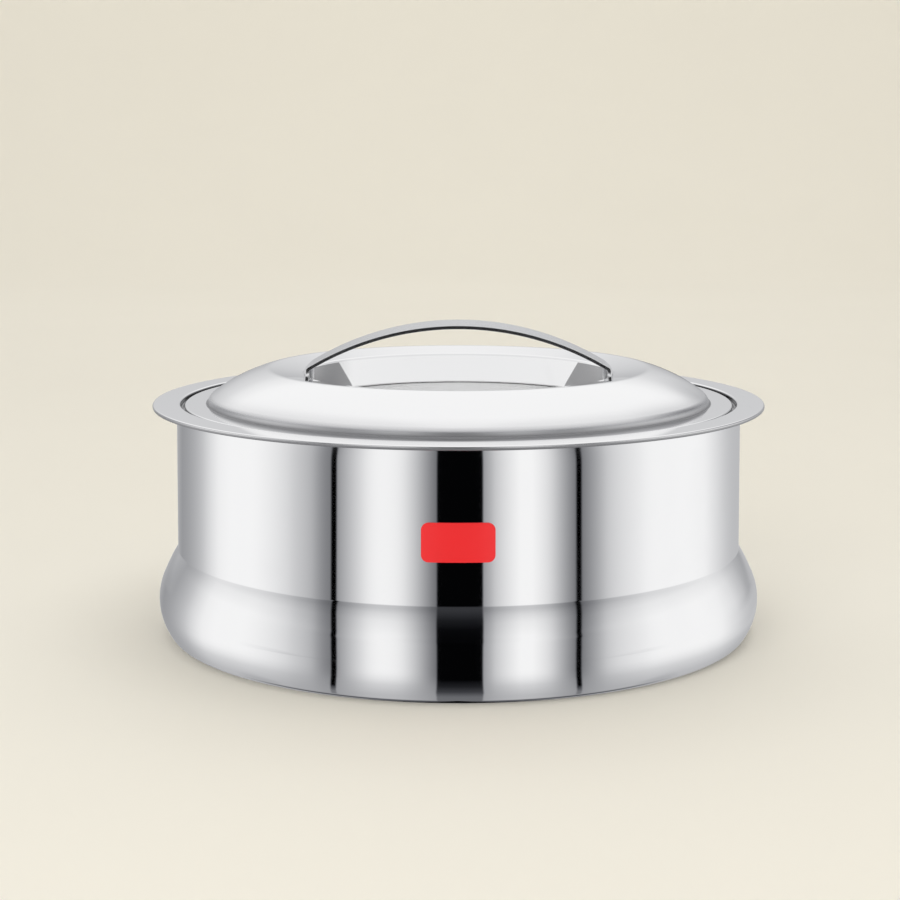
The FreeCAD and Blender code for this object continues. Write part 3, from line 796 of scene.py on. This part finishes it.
def foamMaterial():
    material, wires, shader, position = newMaterial("pouredFoam")
    cells = wires.add("ShaderNodeTexVoronoi", {"Vector": position, "Scale": foam["cells"]}).outputs[0]
    lumps = wires.noise(position, foam["lumps"], detail=foam["lumpDetail"])
    shade = wires.math("ADD", wires.times(cells, foam["cellShare"]),
                       wires.times(lumps, foam["lumpShare"]), clamp=True)
    color = wires.mixColor(shade, opaque(foam["cellColor"]), opaque(foam["color"]))
    relief = bumpFrom(wires, wires.math("ADD", cells, lumps), foam["bump"], foam["depth"])
    wires.put(shader.inputs["Base Color"], color)
    wires.put(shader.inputs["Roughness"], wires.spread(cells, 0.0, 1.0, *foam["rough"]))
    wires.put(shader.inputs["Normal"], relief)
    return material


plugs = {
    "color": (0.035, 0.035, 0.038),
    "dustColor": (0.085, 0.085, 0.088),
    "dustSize": 45.0,
    "dustCover": 0.42,
    "dustShare": 0.5,
    "grain": 1800.0,
    "grainDetail": 3.0,
    "grainRange": (0.3, 0.7),
    "rough": (0.34, 0.52),
    "bump": 0.3,
    "depth": 0.05,
}


def plugMaterial():
    material, wires, shader, position = newMaterial("mouldedPlastic")
    grain = wires.noise(position, plugs["grain"], detail=plugs["grainDetail"])
    dust = placeGroup(wires, wipedSmudges, Position=position, Size=plugs["dustSize"],
                      Cover=plugs["dustCover"])
    dust = wires.times(dust, plugs["dustShare"])
    color = wires.mixColor(dust, opaque(plugs["color"]), opaque(plugs["dustColor"]))
    wires.put(shader.inputs["Base Color"], color)
    wires.put(shader.inputs["Roughness"], wires.spread(grain, *plugs["grainRange"], *plugs["rough"]))
    wires.put(shader.inputs["Normal"], bumpFrom(wires, grain, plugs["bump"], plugs["depth"]))
    return material


badgeLook = {
    "color": (0.99, 0.018, 0.026),
    "shade": (0.95, 0.015, 0.022),
    "shadeSize": 60.0,
    "shadeCover": 0.45,
    "rough": (0.32, 0.40),
    "peel": 700.0,
    "peelDetail": 1.0,
    "bump": 0.08,
    "depth": 0.03,
    "coat": 0.3,
    "coatRough": 0.12,
}


def badgeMaterial():
    material, wires, shader, position = newMaterial("redEnamel")
    peel = wires.noise(position, badgeLook["peel"], detail=badgeLook["peelDetail"])
    smudge = placeGroup(wires, wipedSmudges, Position=position, Size=badgeLook["shadeSize"],
                        Cover=badgeLook["shadeCover"])
    color = wires.mixColor(smudge, opaque(badgeLook["color"]), opaque(badgeLook["shade"]))
    wires.put(shader.inputs["Base Color"], color)
    wires.put(shader.inputs["Roughness"], wires.spread(smudge, 0.0, 1.0, *badgeLook["rough"]))
    wires.put(shader.inputs["Normal"], bumpFrom(wires, peel, badgeLook["bump"], badgeLook["depth"]))
    shader.inputs["Coat Weight"].default_value = badgeLook["coat"]
    shader.inputs["Coat Roughness"].default_value = badgeLook["coatRough"]
    return material


pouredFoam = foamMaterial()
mouldedPlastic = plugMaterial()
redEnamel = badgeMaterial()
print("materials made")


# pieces

def replaceSheet(name, node, body, corners, gauge, way, finishes, finishOf=None, leanOf=None):
    mesh = spinSheet(name, corners, gauge, way, finishOf, leanOf)
    obj = addObject(name, mesh, body, finishes)
    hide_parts(node)


bowlGauge, shellGauge = sheetMetal["bowlGauge"], sheetMetal["shellGauge"]
replaceSheet("shellOutside", "outer_shell", "pot", outerShellCorners(), shellGauge, 1,
             [mirrorSteel], leanOf=bellyLean)
replaceSheet("bowlAndRim", "inner_bowl", "pot", innerBowlCorners(), bowlGauge, -1,
             [rimSteel, satinSteel], insideMouth)
replaceSheet("lidDome", "lid_dome", "lid", lidDomeCorners(), bowlGauge, -1,
             [domeSteel, recessSteel, recessFloorSteel], insideRecess, recessLean)
replaceSheet("lidUnderside", "lid_liner", "lid", lidLinerCorners(), shellGauge, 1,
             [satinSteel])
handle = addObject("lidStrap", strapMesh(), "lid", [strapSteel])
roundRim(handle, strap["edgeRound"], strap["edgeSteps"])
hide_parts("lid_handle")
plate = addObject("wallBadge", badgeMesh(), "pot", [redEnamel])
roundRim(plate, badge["edgeRound"], badge["edgeSteps"])
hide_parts("badge")


def dressNode(name, material):
    mesh = frame["nodes"][name].data
    mesh.materials.clear()
    mesh.materials.append(material)


for name in ("body_insulation", "lid_insulation"):
    dressNode(name, pouredFoam)
for name in ("body_fill_plug", "lid_fill_plug"):
    dressNode(name, mouldedPlastic)
print("pieces made")


# studio: a pale floor that curves up into the backdrop, and a round light tent that the steel reflects

studio = {
    "floorRadius": 3.2,
    "coveHeight": 3.0,
    "coveBend": 1.2,
    "coveSteps": 12,
    "turns": 64,
    "floorColor": (0.905, 0.872, 0.785),
    "floorRough": (0.75, 0.85),
    "mottle": 3.0,
    "mottleDetail": 3.0,
    "mottleShade": 0.97,
    "lamps": {    # place, target, size, power
        "topLamp": [(0.25, -0.35, 1.7), (0, 0, 0), 1.4, 6],
        "frontLamp": [(-0.5, -1.5, 0.8), (0, 0, 0.05), 1.0, 6],
        "backdropLamp": [(0, 1.6, 2.3), (0, 3.2, 0.9), 1.6, 13],
    },
}


def floorMaterial():
    material, wires, shader, position = newMaterial("paleFloor")
    mottle = wires.noise(position, studio["mottle"], detail=studio["mottleDetail"])
    base = studio["floorColor"]
    darker = tuple(value * studio["mottleShade"] for value in base)
    wires.put(shader.inputs["Base Color"], wires.mixColor(mottle, opaque(base), opaque(darker)))
    wires.put(shader.inputs["Roughness"], wires.spread(mottle, 0.0, 1.0, *studio["floorRough"]))
    return material


def sweepFloor():
    # turn a profile with a bend between floor and backdrop about the upright axis
    edge, bend, turns = studio["floorRadius"], studio["coveBend"], studio["turns"]
    profile = []
    for i in range(studio["coveSteps"] + 1):
        angle = math.radians(90 * i / studio["coveSteps"])
        profile.append((edge - bend + bend * math.sin(angle), bend - bend * math.cos(angle)))
    profile.append((edge, studio["coveHeight"]))
    around = [2 * math.pi * j / turns for j in range(turns)]
    verts = [(0, 0, 0)]
    for radius, height in profile:
        verts += [(radius * math.cos(angle), radius * math.sin(angle), height) for angle in around]
    faces = [[0, 1 + j, 1 + (j + 1) % turns] for j in range(turns)]
    for k in range(len(profile) - 1):
        a, b = 1 + k * turns, 1 + (k + 1) * turns
        for j in range(turns):
            m = (j + 1) % turns
            faces.append([a + j, b + j, b + m, a + m])
    mesh = bpy.data.meshes.new("studioFloor")
    mesh.from_pydata(verts, [], faces)
    mesh.polygons.foreach_set("use_smooth", [True] * len(faces))
    floor = bpy.data.objects.new("studioFloor", mesh)
    bpy.context.scene.collection.objects.link(floor)
    mesh.materials.append(floorMaterial())
    floor.visible_glossy = False     # the steel sees the tent instead


sweepFloor()


def areaLamp(name, place, target, size, power):
    data = bpy.data.lights.new(name, "AREA")
    data.shape = "DISK"
    data.size = size
    data.energy = power
    lamp = bpy.data.objects.new(name, data)
    lamp.location = place
    lamp.rotation_euler = (Vector(target) - Vector(place)).to_track_quat("-Z", "Y").to_euler()
    lamp.visible_glossy = False
    bpy.context.scene.collection.objects.link(lamp)


for name, lamp in studio["lamps"].items():
    areaLamp(name, *lamp)


# the tent is laid out for one camera. A direction in it is named by the mirror that would show it to that
# camera: its side, which is the sine of its turn to the left or right, and its tilt upwards in degrees.
# Where it matters how the light itself runs, its turn from the front and its rise are used, in degrees.
tent = {
    "cameraWay": (0, 0.987, -0.162),
    "leastReach": 0.001,                               # keeps the side from a division by 0
    "panels": {    # side and brightness, from one dark edge to the next
        "farLeft": [(-0.99, 0.42), (-0.96, 0.34), (-0.88, 0.60), (-0.82, 0.94), (-0.68, 0.98), (-0.57, 0.73),
                    (-0.49, 0.46), (-0.43, 0.22)],
        "nearLeft": [(-0.40, 0.36), (-0.32, 0.79), (-0.25, 0.98), (-0.17, 0.76), (-0.07, 0.17)],
        "nearRight": [(0.08, 0.32), (0.12, 0.60), (0.20, 0.97), (0.25, 0.99), (0.32, 0.66), (0.39, 0.22)],
        "farRight": [(0.42, 0.23), (0.50, 0.61), (0.62, 0.92), (0.72, 0.99), (0.85, 0.95), (0.92, 0.72),
                     (0.99, 0.57)],
    },
    "spacing": [    # rise, and how much closer the panels stand there
        (-64, 0.0), (-58, 0.022), (-50, 0.041), (-39, 0.060), (-26, 0.0725), (-14.4, 0.0765), (-14.0, 0.0),
        (-7.9, 0.0), (-7.4, 0.077), (2, 0.0745), (15, 0.066), (24, 0.058), (28, 0.050), (31, 0.037),
        (34, 0.026), (37, 0.013), (41, 0.0)],
    "spacingEnd": (0.50, 0.75),                        # sides between which that fades out
    "slit": (0.0058, 0.0773),                          # middle and half width
    "slitLight": [(-46, 0.22), (-33, 0.15), (-27, 0.05), (-21, 0.015), (-14, 0.001), (20, 0.001),
                  (23.3, 0.0027), (25.8, 0.0115), (28.5, 0.036), (31, 0.05)],
    "bars": [(-0.4172, 0.0098), (0.4045, 0.0092)],
    "barEdge": 0.003,
    "barFade": (-40, -26),
    "bed": 0.38,                                       # the light table under the pot
    "bedBlend": [(-45, 0.85), (-33, 0.76), (-27, 0.63), (-21, 0.48), (-15, 0.21), (-10, 0.05), (-6, 0.0)],
    "brim": [(21, 1.0), (25, 0.90), (27, 0.77), (29.5, 0.52), (31, 0.38)],    # upper edge of the panels
    "endFall": 0.12,                                   # right end of the panels
    "endStart": (0.84, 0.95),
    "endTilts": [(-16, 0.0), (-9, 1.0), (4, 1.0), (15, 0.0)],
    "rear": [(160, 0.36), (168, 0.62), (171.6, 0.62), (172.2, 0.01), (180, 0.01)],    # by the turn
    "rearStart": (165, 169),
    "rearTop": (-5, -2),
    "underDark": 0.75,                                 # the dark under it
    "underStart": (110, 140),
    "underTop": (-52, -42),
    "roof": [(28, 0.58), (34, 0.68), (42, 0.80), (50, 0.88), (54, 0.93), (58, 0.98), (62, 1.0), (90, 1.0)],
    "roofStart": (31, 34),
    "rightFall": 0.78,                                 # ends of the roof
    "rightStart": (0.70, 0.93),
    "rightTop": (42, 58),
    "leftFall": 0.30,
    "leftStart": (0.93, 0.99),
    "rearRoof": [(-2, 0.46), (4, 0.56), (8, 0.64), (12, 0.70), (16, 0.76), (20, 0.87), (26, 0.98), (30, 1.0),
                 (66, 1.0)],
    "rearRoofStart": (138, 156),
    "rearRoofFoot": (-5, -1),
    "cornerFall": 0.22,                                # dark corner between the right end and the rear
    "cornerStart": (128, 144),
    "cornerEnd": (160, 167),
    "cornerFoot": (-8, -3),
    "cornerTop": (10, 22),
    "cool": (1.0, 0.99, 0.955),                        # power of each colour, so that the greys lean to blue
}


def ramp(wires, value, stops, soft=False):
    # brightness that follows (place, brightness) stops
    low, high = stops[0][0], stops[-1][0]
    node = wires.add("ShaderNodeValToRGB")
    wires.put(node.inputs[0], wires.spread(value, low, high, 0.0, 1.0))
    elements = node.color_ramp.elements
    node.color_ramp.interpolation = "CARDINAL" if soft else "LINEAR"
    for place, brightness in stops[1:-1]:
        elements.new((place - low) / (high - low)).color = opaque((brightness,) * 3)
    elements[0].color = opaque((stops[0][1],) * 3)
    elements[len(elements) - 1].color = opaque((stops[-1][1],) * 3)
    return node.outputs[0]


def tentWorld():
    world = bpy.data.worlds.new("lightTent")
    bpy.context.scene.world = world
    world.use_nodes = True
    wires = Wiring(world.node_tree)
    black = (0, 0, 0, 1)

    # where a direction lies in the tent
    way = wires.add("ShaderNodeTexCoord").outputs["Generated"]
    apart = wires.add("ShaderNodeVectorMath", {0: way, 1: tent["cameraWay"]}, operation="SUBTRACT")
    mirror = wires.add("ShaderNodeVectorMath", {0: apart.outputs[0]}, operation="NORMALIZE").outputs[0]
    x, y, z = wires.add("ShaderNodeSeparateXYZ", {0: mirror}).outputs
    side = wires.math("DIVIDE", x, wires.math("MAXIMUM", wires.reach(x, y), tent["leastReach"]))
    tilt = wires.times(wires.math("ARCSINE", z), math.degrees(1))
    x, y, z = wires.add("ShaderNodeSeparateXYZ", {0: way}).outputs
    turn = wires.math("ARCTAN2", x, wires.times(y, -1.0))
    turn = wires.times(turn, math.degrees(1))
    aside = wires.math("ABSOLUTE", turn)
    rise = wires.times(wires.math("ARCSINE", z), math.degrees(1))

    def past(value, span, amount=1.0):
        # rises from 0 to the amount over a span of the value
        return wires.spread(value, *span, 0.0, amount)

    def before(value, span):
        return wires.spread(value, *span, 1.0, 0.0)

    # panels round the sides
    closer = wires.times(ramp(wires, rise, tent["spacing"]),
                         before(wires.math("ABSOLUTE", side), tent["spacingEnd"]))
    place = wires.times(side, wires.math("ADD", closer, 1.0))
    light = ramp(wires, place, sum(tent["panels"].values(), []), soft=True)
    light = wires.mixColor(ramp(wires, tilt, tent["bedBlend"]), light, opaque((tent["bed"],) * 3))
    light = wires.add("ShaderNodeMix", {0: 1.0, 6: light, 7: ramp(wires, tilt, tent["brim"])},
                      data_type="RGBA", blend_type="MULTIPLY").outputs[2]
    end = wires.times(past(side, tent["endStart"], tent["endFall"]), ramp(wires, tilt, tent["endTilts"]))
    light = wires.mixColor(end, light, black)

    def strip(middle, half):
        off = wires.math("ABSOLUTE", wires.math("SUBTRACT", place, middle))
        return wires.spread(off, half - tent["barEdge"], half + tent["barEdge"], 1.0, 0.0)

    left, right = [strip(*bar) for bar in tent["bars"]]
    bars = wires.times(wires.math("ADD", left, right), past(tilt, tent["barFade"]))
    light = wires.mixColor(bars, light, black)
    light = wires.mixColor(strip(*tent["slit"]), light, ramp(wires, tilt, tent["slitLight"]))

    # rear wall and the dark under it, seen mostly from behind
    behind = wires.times(past(aside, tent["rearStart"]), before(rise, tent["rearTop"]))
    light = wires.mixColor(behind, light, ramp(wires, aside, tent["rear"]))
    under = wires.times(past(aside, tent["underStart"], tent["underDark"]), before(rise, tent["underTop"]))
    light = wires.mixColor(under, light, black)

    # roof
    rightEnd = past(side, tent["rightStart"], tent["rightFall"])
    leftEnd = past(wires.times(side, -1.0), tent["leftStart"], tent["leftFall"])
    roof = ramp(wires, tilt, tent["roof"])
    roof = wires.mixColor(wires.times(rightEnd, before(tilt, tent["rightTop"])), roof, black)
    roof = wires.mixColor(leftEnd, roof, black)
    light = wires.mixColor(past(tilt, tent["roofStart"]), light, roof)
    back = wires.times(past(aside, tent["rearRoofStart"]), past(rise, tent["rearRoofFoot"]))
    light = wires.mixColor(back, light, ramp(wires, rise, tent["rearRoof"]))
    corner = wires.times(past(turn, tent["cornerStart"]), before(turn, tent["cornerEnd"]))
    corner = wires.times(corner, past(rise, tent["cornerFoot"], tent["cornerFall"]))
    corner = wires.times(corner, before(rise, tent["cornerTop"]))
    light = wires.mixColor(corner, light, black)

    shades = wires.add("ShaderNodeSeparateColor", {0: light}).outputs
    red, green, blue = [wires.math("POWER", shade, power) for shade, power in zip(shades, tent["cool"])]
    cooled = wires.add("ShaderNodeCombineColor", {0: red, 1: green, 2: blue}).outputs[0]
    wires.put(world.node_tree.nodes["Background"].inputs[0], cooled)


tentWorld()
print("studio made")


# camera

view = {
    "lens": 76.5,          # millimetres
    "sensor": 36.0,        # millimetres
    "distance": 0.81507,
    "height": 0.21039,
    "pitch": 9.345,
    "yaw": 0.252,
}
cameraData = bpy.data.cameras.new("viewCamera")
cameraData.lens = view["lens"]
cameraData.sensor_width = view["sensor"]
camera = bpy.data.objects.new("viewCamera", cameraData)
camera.location = (0, -view["distance"], view["height"])
camera.rotation_euler = (math.radians(90 - view["pitch"]), 0, math.radians(view["yaw"]))
bpy.context.scene.collection.objects.link(camera)
bpy.context.scene.camera = camera
bpy.context.scene.view_settings.view_transform = "Standard"
